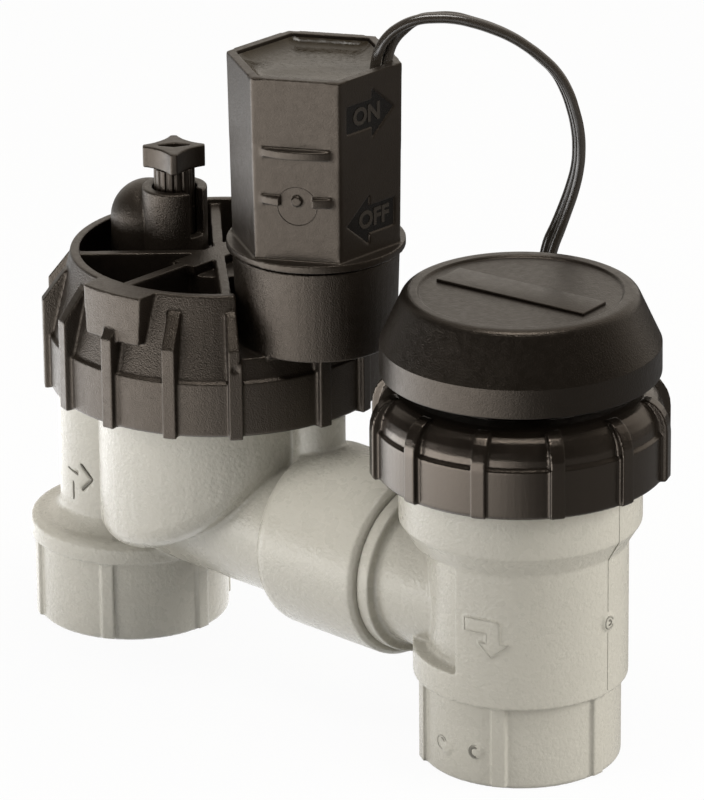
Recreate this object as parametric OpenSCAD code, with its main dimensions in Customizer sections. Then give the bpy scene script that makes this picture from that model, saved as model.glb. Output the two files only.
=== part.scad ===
// Anti-siphon zone valve: a jar-top diaphragm valve with a flow control and a
// turn-to-bleed solenoid, solvent-welded to an atmospheric vacuum breaker.
// The origin is the centre of the inlet port's mouth. +X runs to the outlet, +Z is up.

/* [Ports] */
// Distance from the inlet axis to the outlet axis
port_pitch = 98.5; // [96:0.5:110]
// Outer radius of both threaded hubs
hub_r = 18; // [17:0.25:18.5]
// Height of both threaded hubs
hub_h = 15.8; // [15:0.2:17]
// Radius of the port bores at the thread crests
port_r = 11.85; // [11:0.05:12.5]
// Depth of the pipe thread
thread_depth = 1.3; // [0.8:0.1:1.6]
// Pitch of the pipe thread
thread_pitch = 1.814; // [1.4:0.001:2.2]
// Threaded length of both ports
thread_len = 13.8; // [11:0.2:14.5]
// Width of the six ribs on each hub
hub_rib_w = 2.6; // [1.5:0.1:4]
// How far the hub ribs stand out
hub_rib_t = 0.7; // [0.3:0.1:1.2]
// Radius of the waterways
water_r = 9.5; // [8.5:0.1:10]

/* [Valve body] */
// Distance from the inlet axis to the bonnet axis
bonnet_x = 24.2; // [23:0.2:26]
// Radius of the flange above the inlet hub
flange_r = 19.2; // [18.8:0.1:20]
// Thickness of that flange
flange_t = 4.2; // [3:0.2:5]
// Outer radius of the inlet riser
riser_r = 13.4; // [12.6:0.1:14]
// Rounding of the flange's edge
flange_edge_r = 1.6; // [1.2:0.1:2]
// Fillet where the riser stands on the flange
foot_fillet_r = 3.2; // [2.4:0.2:3.6]
// Outer radius of the bowl under the bonnet
bowl_r = 22.8; // [22.4:0.1:23]
// Radius of the bowl's swept floor
bowl_sweep_r = 37.7; // [37.3:0.1:38]
// Rounding of the bowl's lower edge
bowl_edge_r = 4.6; // [3:0.2:5]
// Height of the passage from the riser into the bowl
passage_z = 38.1; // [37:0.1:39]
// Wall of the bowl
bowl_wall = 2.8; // [2:0.1:3.4]
// Height of the horizontal tube's axis
tube_z = 28.8; // [28:0.1:30]
// Outer radius of the horizontal tube
tube_r = 13.9; // [13:0.1:14.5]
// Outer radius of the socket that takes the vacuum breaker
socket_r = 17.3; // [16.6:0.1:18]
// Length of the socket's full-size barrel
socket_len = 21.8; // [20:0.1:23]
// Length of the rounded shoulder between tube and socket
shoulder_len = 3.4; // [2.4:0.2:6]
// Radius of the solvent-weld spigot
spigot_r = 13.35; // [12.8:0.05:13.6]
// Outer radius of the bonnet thread's rim
rim_r = 28.2; // [27.6:0.1:28.4]
// Height of the rim above the bonnet's lower edge
rim_h = 6.8; // [6:0.1:7.6]
// Outer radius of the main seat
seat_r = 11; // [10.6:0.1:11.4]
// Bore radius of the main seat
seat_bore_r = 8.6; // [8:0.1:9]

/* [Bonnet] */
// Height of the bonnet's lower edge
bonnet_low_z = 52.5; // [51:0.1:54]
// Outer radius of the bonnet's lower band
band_r = 31.4; // [31:0.1:33]
// Height of the lower band
band_h = 10.4; // [9.6:0.1:11]
// Outer radius of the bonnet's top rim
top_rim_r = 27.1; // [26.5:0.1:28]
// Thickness of the bonnet's upper wall
upper_wall = 1.7; // [1.4:0.1:2.2]
// Depth of the bonnet's top recess
recess_h = 11.1; // [10:0.1:12]
// Thickness of the bonnet's pressure plate
plate_t = 2.5; // [2:0.1:3.5]
// Height of the control chamber above the diaphragm's bead
chamber_h = 3; // [2.8:0.1:4]
// Radius of the control chamber
chamber_r = 23.5; // [23.2:0.1:23.8]
// Width of the grip ribs
grip_w = 2.5; // [1.8:0.1:3.2]
// How far the grip ribs stand out
grip_t = 1.2; // [0.8:0.1:1.6]
// Half of the angle over which the upper wall is cut for the solenoid
cut_half = 39; // [36:1:40]
// Thickness of the spokes in the top recess
spoke_t = 1.9; // [1.4:0.1:2.4]

/* [Flow control] */
// Distance from the bonnet axis back to the flow control
flow_back = 11.1; // [10.8:0.1:11.6]
// Outer radius of the flow control boss
boss_r = 6; // [5.6:0.1:6.4]
// Height of the boss above the recess floor
boss_h = 20.4; // [19:0.1:22]
// Radius of the stem's shank
shank_r = 3.8; // [3.5:0.05:4]
// Visible length of the shank between boss and handle
shank_show = 3.5; // [3.4:0.1:5]
// Reach of the handle's four corners
handle_r = 5.7; // [5.2:0.1:6.4]
// Height of the handle
handle_h = 4.1; // [3.6:0.1:5]
// Radius of the dome behind the boss
dome_r = 7.1; // [6.6:0.1:7.4]

/* [Solenoid] */
// Distance from the bonnet axis to the solenoid axis
solenoid_out = 24.8; // [24.5:0.1:25.2]
// Outer radius of the solenoid bowl at its foot
cup_r = 14.5; // [14.2:0.1:15]
// Height of the solenoid bowl
cup_h = 17; // [16:0.1:18]
// Bore radius of the solenoid bowl
cup_bore_r = 12.5; // [12.2:0.1:12.7]
// Radius of the solenoid's collar
collar_r = 16.2; // [15.8:0.1:17]
// Thickness of the collar
collar_t = 1.4; // [1.2:0.1:2]
// Corner radius of the hexagonal housing at its top
hex_r = 16.2; // [15.9:0.05:16.4]
// Corner radius of the hexagonal housing at the collar
hex_foot_r = 15.65; // [15.4:0.05:15.8]
// Height of the hexagonal housing above the collar
hex_h = 34.2; // [33:0.1:37]
// Corner radius of the housing's cavity
hex_cavity_r = 13.9; // [13.8:0.05:13.95]
// How much wider the cavity is at the rim
cavity_taper = 0.38; // [0.36:0.02:0.42]
// Depth of the potting below the housing's rim
potting_drop = 2.2; // [1.8:0.1:2.8]
// Travel of the plunger
plunger_travel = 2.5; // [1.5:0.1:2.6]

/* [Vacuum breaker] */
// Radius of the jacket and shoulder of the vacuum breaker
jacket_r = 19.25; // [19:0.05:20]
// Radius of the core on the inlet side
core_r = 16.4; // [16:0.1:17]
// Height of the jacket's top
jacket_top_z = 41.5; // [40:0.1:42.5]
// How far the upper cylinder's side lies inside the nut's
nut_grip = 4.36; // [4.2:0.02:4.6]
// Height of the upper cylinder's lower edge
upper_low_z = 45.3; // [44.5:0.1:46]
// Height of the upper cylinder's top rim
upper_top_z = 65; // [64:0.1:66]
// Outer radius of the retaining nut
nut_r = 26; // [25.6:0.1:27]
// How far the nut reaches down from the upper cylinder's rim
nut_drop = 10.4; // [9.8:0.1:10.9]
// Height of the nut's straight band
nut_band_h = 9.3; // [8.6:0.1:9.8]
// Overall height of the nut
nut_h = 15.4; // [15:0.1:16.4]
// Width of the nut's twelve ribs
nut_rib_w = 2.6; // [1.8:0.1:3.2]
// How far the nut's ribs stand out
nut_rib_t = 1.1; // [0.8:0.1:1.6]
// Radius of the canopy's lower edge
canopy_r = 24.9; // [24.4:0.1:26]
// Radius of the canopy's flat top
canopy_top_r = 21.2; // [20.4:0.1:22]
// Open height between nut and canopy
canopy_gap = 3; // [2.4:0.1:4]
// Height of the canopy's straight lower band
canopy_band_h = 5.4; // [4.6:0.1:6]
// Overall height of the canopy
canopy_h = 14.7; // [14:0.1:16]
// Travel of the poppet
poppet_travel = 6; // [4:0.1:6.2]

/* [Leads] */
// Diameter of each lead over its insulation
lead_d = 1.9; // [1.8:0.05:1.95]
// Diameter of the bare conductor
conductor_d = 0.9; // [0.6:0.1:1.2]
// Turns in the lead coil
coil_turns = 3; // [2.75:0.25:3.25]

/* [Clearances] */
// Radial running clearance of moving pieces
run_gap = 0.3; // [0.2:0.02:0.36]
// Radial clearance of glued, pressed and sealing fits
fit_gap = 0.05; // [0.03:0.01:0.08]

/* [Hidden] */
$fn = 96;
eps = 0.2;
through = 1;

// The joining tube starts hidden in the bowl and the hub's flange
tube_start_x = bonnet_x - 12;
// Middle of the bowl's swept floor, seen from the side
bowl_sweep_x = bonnet_x + 22.4 - 0.9 * bowl_sweep_r;
bowl_sweep_z = bonnet_low_z - 17.2 + 0.65 * bowl_sweep_r;
// Heights worked up from the bonnet's lower edge
rim_low_z = bonnet_low_z + 0.2;
rim_top_z = rim_low_z + rim_h;
bead_t = 2;
clamp_z = rim_top_z + bead_t;
ceiling_z = clamp_z + chamber_h;
floor_z = ceiling_z + plate_t;
bonnet_top_z = floor_z + recess_h;
spoke_top_z = bonnet_top_z - 1.1;
skirt_r = rim_r + 1;
band_top_z = bonnet_low_z + band_h;
// Step between the band and the upper wall
band_ledge = 0.6;
wall_lean = (band_r - band_ledge - top_rim_r) / (bonnet_top_z - band_top_z);
function upper_wall_r(z) = band_r - band_ledge - (z - band_top_z) * wall_lean;
rim_inner_r = chamber_r;

// The diaphragm's stack on its seat
diaphragm_lift = 4.5;
seat_depth = 7.4;
seat_z = clamp_z - seat_depth;
seal_t = 2;
web_t = 1.5;
support_t = 1.5;
seal_z = seat_z + fit_gap;
web_z = seal_z + seal_t;
support_z = web_z + web_t;
support_top_z = support_z + support_t;
support_r = 15.6;
pocket_r = 5.6;
pocket_top_z = floor_z + 6;
centre_boss_r = 8.6;
centre_boss_top_z = pocket_top_z + 2.2;

// Flow control
flow_x = bonnet_x - flow_back;
boss_top_z = floor_z + boss_h;
boss_bore_r = shank_r + run_gap;
stem_travel = 3.2;
shank_low_z = floor_z + 3.5;
shank_foot_z = shank_low_z + stem_travel + run_gap;
stem_thread_r = 3;
stem_foot_z = ceiling_z - 0.5;
handle_z = boss_top_z + shank_show;
handle_top_z = handle_z + handle_h;
dome_x = bonnet_x - 17.9;
dome_z = floor_z + 12.6;

// Solenoid
sol_x = bonnet_x + solenoid_out;
cup_top_r = cup_r + 0.6;
cup_floor_z = floor_z + 4;
cup_top_z = floor_z + cup_h;
nozzle_z = cup_floor_z + 2.2;
pilot_r = 0.9;
pilot_post_r = 5;
collar_z = cup_top_z + 0.4;
hex_z = collar_z + collar_t;
hex_top_z = hex_z + hex_h;
neck_r = cup_bore_r - run_gap;
neck_low_z = collar_z - 7.4;
housing_floor_z = hex_z + 1.3;
tube_outer_r = 5;
tube_inner_r = 4.2;
tube_low_z = neck_low_z + 3;
spring_room_r = 6.2;
yoke_half = 11.3;
yoke_t = 1.4;
yoke_w = 12;
bobbin_z = housing_floor_z + yoke_t + 0.1;
bobbin_h = 21.4;
bobbin_r = yoke_half - yoke_t - 0.1;
yoke_top_z = bobbin_z + bobbin_h + 0.1;
potting_low_z = yoke_top_z + yoke_t + 0.5;
potting_z = hex_top_z - potting_drop;
plunger_r = tube_inner_r - run_gap;
plunger_seal_r = 2.4;
plunger_seal_t = 2;
plunger_seal_z = nozzle_z + fit_gap;
plunger_low_z = plunger_seal_z + 1;
plunger_flange_z = plunger_low_z + 0.8;
plunger_flange_t = 1.2;
plunger_len = 20.3;
plunger_top_z = plunger_low_z + plunger_len;
core_z = plunger_top_z + plunger_travel + 0.3;
core_top_z = yoke_top_z + yoke_t;
tube_short = 4;
tube_top_z = bobbin_z + bobbin_h - tube_short;
disc_r = 15.4;
disc_t = 1.6;

// Vacuum breaker
avb_x = port_pitch;
socket_end_x = port_pitch - 25.5;
socket_start_x = socket_end_x - socket_len;
spigot_len = 22;
spigot_start_x = socket_end_x - spigot_len;
neck_flange_r = socket_r - 1.5;
neck_flange_t = 2.8;
barrel_bore_r = 13.4;
upper_r = nut_r - nut_grip;
nut_low_z = upper_top_z - nut_drop;
chamber_floor_z = upper_low_z + 1.2;
vent_chamber_r = upper_r - 3.04;
pipe_wall_r = 8.6;
pipe_bore_r = 6.8;
pipe_top_z = chamber_floor_z + 3;
nut_bore_r = upper_r + 0.96;
nut_top_z = nut_low_z + nut_h;
lip_z = upper_top_z + 2.4;
lip_r = upper_r - 4.14;
nut_turn = -4.1;
nut_step = 0.5;
vent_flange_t = 2.2;
vent_plate_z = upper_top_z - 1.8;
vent_seat_z = upper_top_z - 3.1;
vent_seat_r = 12;
vent_open_r = 10.2;
hub_post_r = 5.5;
guide_r = 2.9;
canopy_low_z = nut_top_z + canopy_gap;
canopy_top_z = canopy_low_z + canopy_h;
canopy_wall = 2.2;
post_drop = 7.7;
post_top_z = canopy_top_z - post_drop;
post_pin_r = 3;
poppet_seal_z = pipe_top_z + fit_gap;
poppet_seal_t = 1.4;
poppet_z = poppet_seal_z + poppet_seal_t;
poppet_t = vent_seat_z - poppet_travel - 1.4 - 0.35 - poppet_z;
poppet_r = 13.5;
poppet_guide_h = 17.6;
poppet_fin_h = 6;
poppet_top_z = poppet_z + poppet_t;

// Leads: each route runs from the potting over the vacuum breaker and down behind it
lead_coil_r = 14.2;
lead_coil_step = lead_d + 0.45;
lead_coil_at = [75, 26];
lead_coil_start = 40;
lead_coil_z = [1.6, 4.05];
lead_a_route = [
  [58.9, 5.1, potting_z], [59.1, 5.4, 119.8], [59.6, 5.8, 122], [60.5, 6.7, 124.1],
  [62.1, 8.2, 126], [64.5, 10.4, 127.4], [66.9, 12.8, 127.7], [69.3, 15.1, 127.5],
  [71.6, 17.2, 126.8], [74.1, 19.6, 125.6], [76.6, 22, 124], [78.6, 23.9, 122.2],
  [80.5, 25.8, 120], [82.3, 27.5, 117.4], [83.7, 28.9, 114], [84.7, 29.8, 110],
  [85.3, 30.3, 106.4], [85.4, 30.5, 102.7], [85.2, 30.3, 99.1], [84.6, 29.7, 95.1],
  [83.7, 28.9, 91.3], [82.8, 28, 87.6], [81.9, 27.2, 84.2], [81.1, 26.6, 79.5],
  [81, 26.4, 73.5], [82.6, 26.8, 66.5], [84.3, 27.4, 59.5], [86, 28.2, 51.5],
  [87.6, 29, 42.5], [88.8, 29.6, 33.5], [89.6, 30, 24.5], [90, 30.2, 16.5],
  [90, 30.2, 8], [89.45, 30.86, 4.8], [87.94, 32.65, 2.46], [85.88, 35.13, 1.6]
];
lead_b_route = [
  [60.3, 6.5, potting_z], [60.35, 6.9, 119.4], [60.3, 7.6, 121.3], [60.5, 8.6, 123.1],
  [61.5, 10, 125], [63.2, 12, 126.8], [65.5, 14.3, 127.3], [67.8, 16.6, 127.2],
  [70.1, 18.6, 126.4], [72.6, 21, 125.2], [75, 23.3, 123.6], [77, 25.2, 121.8],
  [78.8, 27, 119.6], [80.6, 28.7, 117.1], [81.9, 30, 113.8], [82.9, 30.9, 109.9],
  [83.5, 31.4, 106.3], [83.6, 31.7, 102.7], [83.5, 31.5, 99.2], [82.8, 30.8, 95.2],
  [81.9, 29.9, 91.5], [80.9, 28.9, 87.9], [79.9, 27.9, 84.5], [79.3, 27.6, 79.5],
  [80.1, 28.25, 73.5], [81.9, 28.75, 66.5], [83.5, 29.3, 59.5], [85, 30, 51.5],
  [86.4, 30.7, 42.5], [87.5, 31.2, 33.5], [88.3, 31.6, 24.5], [88.64, 31.84, 16.5],
  [88.64, 31.84, 8.35], [88.27, 32.28, 6.2], [87.26, 33.49, 4.63], [85.88, 35.13, 4.05]
];
coil_step_deg = 15;
tip_deg = 45;

pvc = [0.72, 0.71, 0.66];
black = [0.17, 0.16, 0.15];
dark_rubber = [0.12, 0.12, 0.12];
steel = [0.70, 0.71, 0.73];
copper = [0.72, 0.45, 0.20];

// A round solid on the Z axis at x, from z to z + h
module post(x, r, z, h) {
  translate([x, 0, z]) cylinder(r = r, h = h);
}

// A round solid along +X at the height of the horizontal tube
module pipe(r, x0, x1) {
  translate([x0, 0, tube_z]) rotate([0, 90, 0]) cylinder(r = r, h = x1 - x0);
}

// A ring on the Z axis
module ring(r_in, r_out, z, h) {
  rotate_extrude() translate([r_in, z]) square([r_out - r_in, h]);
}

// Pipe thread drawn as a stack of V grooves above the port's mouth
module port_thread() {
  first = 0.5 + thread_pitch * 0.38;
  grooves = floor((thread_len - 2 * first) / thread_pitch);
  translate([0, 0, -through]) cylinder(r = port_r, h = thread_len + through);
  rotate_extrude()
    for (k = [0 : grooves])
      translate([0, first + k * thread_pitch])
        polygon([[port_r - eps, -thread_pitch * 0.38], [port_r + thread_depth, -0.08],
          [port_r + thread_depth, 0.08], [port_r - eps, thread_pitch * 0.38]]);
}

// Coarse closure thread drawn as separate ridges of trapezoid section
module closure_ridges(r_root, r_tip, z, pitch, count) {
  rotate_extrude()
    for (k = [0 : count - 1])
      translate([0, z + k * pitch])
        polygon([[r_root, -0.75], [r_tip, -0.35], [r_tip, 0.35], [r_root, 0.75]]);
}

// A threaded hub with its six ribs, standing on z = 0
module hub() {
  edge = 0.5;
  rotate_extrude()
    polygon([[0, 0], [hub_r - edge, 0], [hub_r, edge], [hub_r, hub_h + eps], [0, hub_h + eps]]);
  for (a = [0 : 60 : 300])
    rotate(a) translate([hub_r - 1, -hub_rib_w / 2, edge])
      cube([1 + hub_rib_t, hub_rib_w, hub_h - edge]);
}

// Points of a helix or flat spiral are swept with this tube
function unit(v) = v / norm(v);
function heading(p, i, t0, t1) =
  i == 0 ? t0 : i == len(p) - 1 ? t1 : unit(p[i + 1] - p[i - 1]);
function frames(p, i, u, t0, t1) =
  i == len(p) ? [] :
  let (t = heading(p, i, t0, t1), n = unit(u - (u * t) * t))
  concat([[n, cross(t, n)]], frames(p, i + 1, n, t0, t1));

module swept_tube(p, r, sides, t0, t1) {
  side_hint = abs(t0.z) > 0.9 ? [1, 0, 0] : [0, 0, 1];
  f = frames(p, 0, side_hint, t0, t1);
  last = len(p) - 1;
  points = [for (i = [0 : last]) for (k = [0 : sides - 1])
    p[i] + r * (cos(360 * k / sides) * f[i][0] + sin(360 * k / sides) * f[i][1])];
  walls = [for (i = [0 : last - 1]) for (k = [0 : sides - 1])
    let (a = i * sides + k, b = i * sides + (k + 1) % sides)
    for (face = [[a, a + sides, b], [b, a + sides, b + sides]]) face];
  caps = [for (k = [1 : sides - 2])
    for (face = [[0, k, k + 1],
      [last * sides, last * sides + k + 1, last * sides + k]]) face];
  polyhedron(points = points, faces = concat(walls, caps), convexity = 6);
}

// Least gap between stretches of one tube that are at least skip points apart
function least_gap(p, d, skip) =
  min([for (i = [0 : len(p) - 1 - skip]) for (j = [i + skip : len(p) - 1]) norm(p[i] - p[j])]) - d;

// A compression spring with square-cut flat ends, standing on z
function spring_points(x, r, z, h, turns) =
  [for (i = [0 : 8 * turns])
    [x + r * cos(45 * i), r * sin(45 * i), z + h * i / (8 * turns)]];
module spring(x, r, wire_r, z, h, turns) {
  p = spring_points(x, r, z + wire_r + 0.05, h - 2 * wire_r - 0.1, turns);
  echo(str("spring gap ", least_gap(p, 2 * wire_r, 7)));
  swept_tube(p, wire_r, 6, [0, 1, 0], [-sin(360 * turns), cos(360 * turns), 0]);
}

// A drum that lies across the valve, whose underside is the bowl's swept floor
module floor_drum(r) {
  translate([bowl_sweep_x, 0, bowl_sweep_z]) rotate([90, 0, 0])
    cylinder(r = r, h = 4 * bowl_r, center = true);
}

// Centre of the rounding of the bowl's lower edge, at one angle around the bowl
function bowl_edge_at(angle) =
  let (x = bonnet_x + (bowl_r - bowl_edge_r) * cos(angle), reach = bowl_sweep_r - bowl_edge_r)
  [x, (bowl_r - bowl_edge_r) * sin(angle),
    bowl_sweep_z - sqrt(reach * reach - (x - bowl_sweep_x) * (x - bowl_sweep_x))];

// The bowl's outside: a round tank with a swept floor and a rounded lower edge
module bowl_outside() {
  hull() {
    post(bonnet_x, bowl_r, rim_low_z - 1, 2);
    for (angle = [0 : 7.5 : 352.5])
      translate(bowl_edge_at(angle)) sphere(r = bowl_edge_r, $fn = 24);
  }
}

module bowl_inside() {
  difference() {
    intersection() {
      post(bonnet_x, bowl_r - bowl_wall, 0, rim_top_z);
      floor_drum(bowl_sweep_r - bowl_wall);
    }
    pipe(water_r + bowl_wall, bonnet_x - water_r - bowl_wall, socket_start_x);
    post(bonnet_x, seat_r, tube_z, seat_z - tube_z);
    translate([bonnet_x, 0, tube_z]) sphere(r = water_r + bowl_wall);
  }
}

// Rounded shoulder from the tube up to the socket, around the tube's axis
module socket_outside() {
  steps = 8;
  shoulder = [for (i = [0 : steps])
    [tube_r + (socket_r - tube_r) * sin(90 * i / steps),
      socket_start_x - shoulder_len * cos(90 * i / steps)]];
  translate([0, 0, tube_z]) rotate([0, 90, 0])
    rotate_extrude()
      polygon(concat([[0, tube_start_x], [tube_r, tube_start_x]], shoulder,
        [[socket_r, socket_end_x - 0.8], [socket_r - 0.8, socket_end_x], [0, socket_end_x]]));
}

// One straight stroke of the flow mark, in the plane that touches the riser at -Y
module stroke(from, to, width) {
  run = to - from;
  translate([from.x, 0, from.y]) rotate([0, -atan2(run.y, run.x), 0])
    translate([0, -riser_r - 1, -width / 2]) cube([norm(run), 1.7, width]);
}

// Sunken flow mark on the inlet riser
module riser_mark() {
  stroke([-3.6, 30.8], [-0.4, 30.6], 0.6);
  stroke([0.1, 32.5], [2.9, 29.9], 0.7);
  stroke([2.9, 29.9], [0.4, 27.4], 0.6);
  stroke([-2.05, 24.8], [-2.05, 28.5], 0.6);
}

// A post that joins the rim from below and stays clear of the bonnet's band
module post_under_rim(x, r, z) {
  post(x, r, z, bonnet_low_z - run_gap - z);
  intersection() {
    post(x, r, z, rim_low_z + 0.5 - z);
    post(bonnet_x, rim_r, z, rim_top_z - z);
  }
}

// The hub's flange with a rounded edge, and the fillet where the riser stands on it
module flange_and_foot() {
  top = hub_h + flange_t;
  edge = [for (i = [0 : 6])
    [flange_r - flange_edge_r + flange_edge_r * cos(15 * i), top - flange_edge_r + flange_edge_r * sin(15 * i)]];
  foot = [for (i = [0 : 6])
    [riser_r + foot_fillet_r - foot_fillet_r * sin(15 * i), top + foot_fillet_r - foot_fillet_r * cos(15 * i)]];
  rotate_extrude()
    polygon(concat([[0, hub_h], [flange_r, hub_h]], edge, foot, [[0, top + foot_fillet_r]]));
}

module valve_body() {
  color(pvc)
  difference() {
    union() {
      hub();
      flange_and_foot();
      post_under_rim(0, riser_r, hub_h);
      bowl_outside();
      socket_outside();
      post(bonnet_x, rim_r, rim_low_z, rim_h);
      post_under_rim(sol_x, pilot_post_r, tube_z);
      translate([bonnet_x, 0, 0])
        closure_ridges(rim_r - 0.3, rim_r + 0.65, rim_low_z + 1.6, 3, 2);
    }
    port_thread();
    post(0, water_r, thread_len - eps, passage_z + 5 - thread_len);
    translate([0, 0, passage_z]) rotate([0, 90, 0])
      cylinder(r = water_r - 1.5, h = bonnet_x - seat_r - 2);
    bowl_inside();
    post(bonnet_x, rim_inner_r, rim_top_z - 4.3, 4.3 + through);
    post(bonnet_x, seat_bore_r, tube_z, seat_z - tube_z + through);
    translate([bonnet_x, 0, tube_z]) sphere(r = water_r);
    pipe(water_r, bonnet_x, socket_end_x);
    pipe(spigot_r + fit_gap, spigot_start_x - 0.5, socket_end_x + through);
    post(sol_x, pilot_r, tube_z, rim_top_z - tube_z + through);
    riser_mark();
  }
}

// Rolling diaphragm: bead, convolution and flat centre, with the bleed and pilot holes
module diaphragm() {
  bead_in = rim_inner_r - 1.2;
  color(dark_rubber)
  translate([bonnet_x, 0, 0])
  difference() {
    rotate_extrude()
      polygon([[0, web_z], [support_r + 0.4, web_z], [19, web_z + 1.6], [21, rim_top_z - 0.4],
        [rim_inner_r - 0.2, rim_top_z - 0.2], [rim_inner_r - 0.2, rim_top_z],
        [rim_r - 0.2, rim_top_z], [rim_r - 0.2, clamp_z], [bead_in, clamp_z],
        [20.6, rim_top_z + 1.2], [18.4, support_z + 1.5], [support_r + 0.4, support_z],
        [0, support_z]]);
    translate([solenoid_out, 0, rim_top_z - 2]) cylinder(r = pilot_r + 0.2, h = bead_t + 4);
    translate([0, seat_r + 2.6, web_z - 2]) cylinder(r = 0.8, h = 8);
  }
}

module seat_seal() {
  color(dark_rubber)
  difference() {
    post(bonnet_x, seat_r + 0.8, seal_z, seal_t);
    post(bonnet_x, 3, seal_z - through, seal_t + 2 * through);
  }
}

// Stiff plate above the diaphragm, with the spigot that centres the spring
module diaphragm_plate() {
  color(black)
  difference() {
    union() {
      post(bonnet_x, support_r, support_z, support_t);
      post(bonnet_x, pocket_r - 2.4, support_z, support_t + 2.2);
    }
    translate([bonnet_x, seat_r + 2.6, support_z - through])
      cylinder(r = 1.2, h = support_t + 2 * through);
  }
}

// Small strainer under the diaphragm's bleed hole
module filter_screen() {
  color(black)
  translate([bonnet_x, seat_r + 2.6, web_z - 1.2])
  difference() {
    cylinder(r = 1.7, h = 1.2);
    translate([0, 0, -through]) cylinder(r = 0.6, h = 1.2 + 2 * through);
    for (a = [0, 60, 120])
      rotate(a) translate([-2, -0.2, -eps]) cube([4, 0.4, 0.6]);
  }
}

module diaphragm_spring() {
  color(steel)
  spring(bonnet_x, pocket_r - 1, 0.45, support_top_z, pocket_top_z - support_top_z, 5);
}

// Grip ribs: upright on the band, then leaning in over the upper wall
grip_angles = [-9.5, 9.5, -40.5, 40.5, -62, 62, -84.5, 84.5, -107, 107, -129.5, 129.5,
  -152, 152, 180];
module grip_rib(angle) {
  out = band_r + grip_t;
  bend_z = band_top_z + 6.6;
  top_z = bonnet_top_z - 3;
  short = abs(angle) < cut_half;
  upper = short ? [[out, floor_z - 0.6], [out - 0.6, floor_z], [band_r - 1, floor_z]] :
    [[out, bend_z], [upper_wall_r(top_z) + grip_t * 0.4, top_z], [upper_wall_r(top_z) - 0.6, top_z]];
  rotate(angle) rotate([90, 0, 0]) translate([0, 0, -grip_w / 2])
    linear_extrude(grip_w)
      polygon(concat([[band_r - 1, bonnet_low_z], [out - 0.4, bonnet_low_z - 0.2],
        [out, bonnet_low_z]], upper, short ? [] : [[band_r - 1.4, band_top_z]]));
}

// One spoke wall of the top recess, from the centre to the upper wall
module spoke(angle) {
  rotate(angle) rotate([90, 0, 0]) translate([0, 0, -spoke_t / 2])
    linear_extrude(spoke_t)
      polygon([[0, floor_z - 0.5], [upper_wall_r(floor_z) - 0.8, floor_z - 0.5],
        [upper_wall_r(spoke_top_z) - 0.8, spoke_top_z], [0, spoke_top_z]]);
}

// Block on the rim that lines up with the body when the bonnet is tight
module alignment_tab() {
  face_r = band_r - 0.2;
  half = 12.4;
  rotate(-84.5)
    intersection() {
      rotate([90, 0, 90]) linear_extrude(face_r)
        polygon([[-face_r * sin(half) + 0.6, floor_z + 2], [face_r * sin(half) - 0.6, floor_z + 2],
          [face_r * sin(half), bonnet_top_z], [-face_r * sin(half), bonnet_top_z]]);
      difference() {
        cylinder(r = face_r, h = bonnet_top_z);
        cylinder(r = top_rim_r - upper_wall, h = bonnet_top_z + through);
      }
    }
}

// The upper wall's opening towards the solenoid
module solenoid_cut() {
  reach = band_r + 12;
  linear_extrude(bonnet_top_z + through)
    difference() {
      polygon([[0, 0], [reach, -reach * tan(cut_half)], [reach, reach * tan(cut_half)]]);
      circle(r = chamber_r);
    }
}

module bonnet_shell() {
  difference() {
    union() {
      rotate_extrude()
        polygon([[0, ceiling_z], [chamber_r, ceiling_z], [chamber_r, clamp_z], [skirt_r, clamp_z],
          [skirt_r, bonnet_low_z], [band_r - 0.5, bonnet_low_z], [band_r, bonnet_low_z + 0.5],
          [band_r, band_top_z], [band_r - band_ledge, band_top_z], [top_rim_r, bonnet_top_z],
          [top_rim_r - upper_wall, bonnet_top_z], [upper_wall_r(floor_z) - upper_wall, floor_z],
          [0, floor_z]]);
      for (a = grip_angles) grip_rib(a);
      alignment_tab();
    }
    translate([0, 0, floor_z]) solenoid_cut();
  }
  for (a = [-42, 42, -90, 90, -136, 136]) spoke(a);
  cylinder_plate = [5.2, 18];
  translate([-cylinder_plate.x / 2, -cylinder_plate.y / 2, spoke_top_z - 1.6])
    cube([cylinder_plate.x, cylinder_plate.y, 1.6]);
  translate([0, 0, floor_z - eps]) cylinder(r = centre_boss_r, h = centre_boss_top_z - floor_z);
  closure_ridges_inside();
}

module closure_ridges_inside() {
  rotate_extrude()
    for (k = [0 : 1])
      translate([0, rim_low_z + 3.1 + k * 2.8])
        polygon([[skirt_r + 0.3, -0.55], [skirt_r - 0.6, -0.25], [skirt_r - 0.6, 0.25],
          [skirt_r + 0.3, 0.55]]);
}

module bonnet() {
  color(black)
  difference() {
    union() {
      translate([bonnet_x, 0, 0]) bonnet_shell();
      post(flow_x, boss_r, floor_z - eps, boss_h);
      post(dome_x, dome_r, floor_z - eps, dome_z - floor_z);
      translate([dome_x, 0, dome_z]) sphere(r = dome_r);
      translate([sol_x, 0, floor_z - eps])
        cylinder(r1 = cup_r, r2 = cup_top_r, h = cup_h);
    }
    post(flow_x, boss_bore_r, shank_low_z, boss_top_z);
    post(flow_x, stem_thread_r + run_gap, ceiling_z - through, boss_h);
    translate([flow_x, -1.7, boss_top_z - 8.8]) cube([boss_r + 2, 3.4, boss_h]);
    post(bonnet_x, pocket_r, ceiling_z - through, pocket_top_z - ceiling_z + through);
    difference() {
      post(sol_x, cup_bore_r, cup_floor_z, cup_h);
      post(sol_x, 2, cup_floor_z - through, nozzle_z - cup_floor_z + through);
    }
    post(sol_x, pilot_r, clamp_z - through, nozzle_z - clamp_z + 2 * through);
    post(sol_x - 5.4, 1, ceiling_z - through, cup_floor_z - ceiling_z + 2 * through);
    translate([bonnet_x, 0, band_top_z + 3]) rotate(-40.5) translate([band_r + grip_t - 0.4, 0, 0])
      rotate([0, 90, 0]) cylinder(r = 0.7, h = 3);
  }
}

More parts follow.
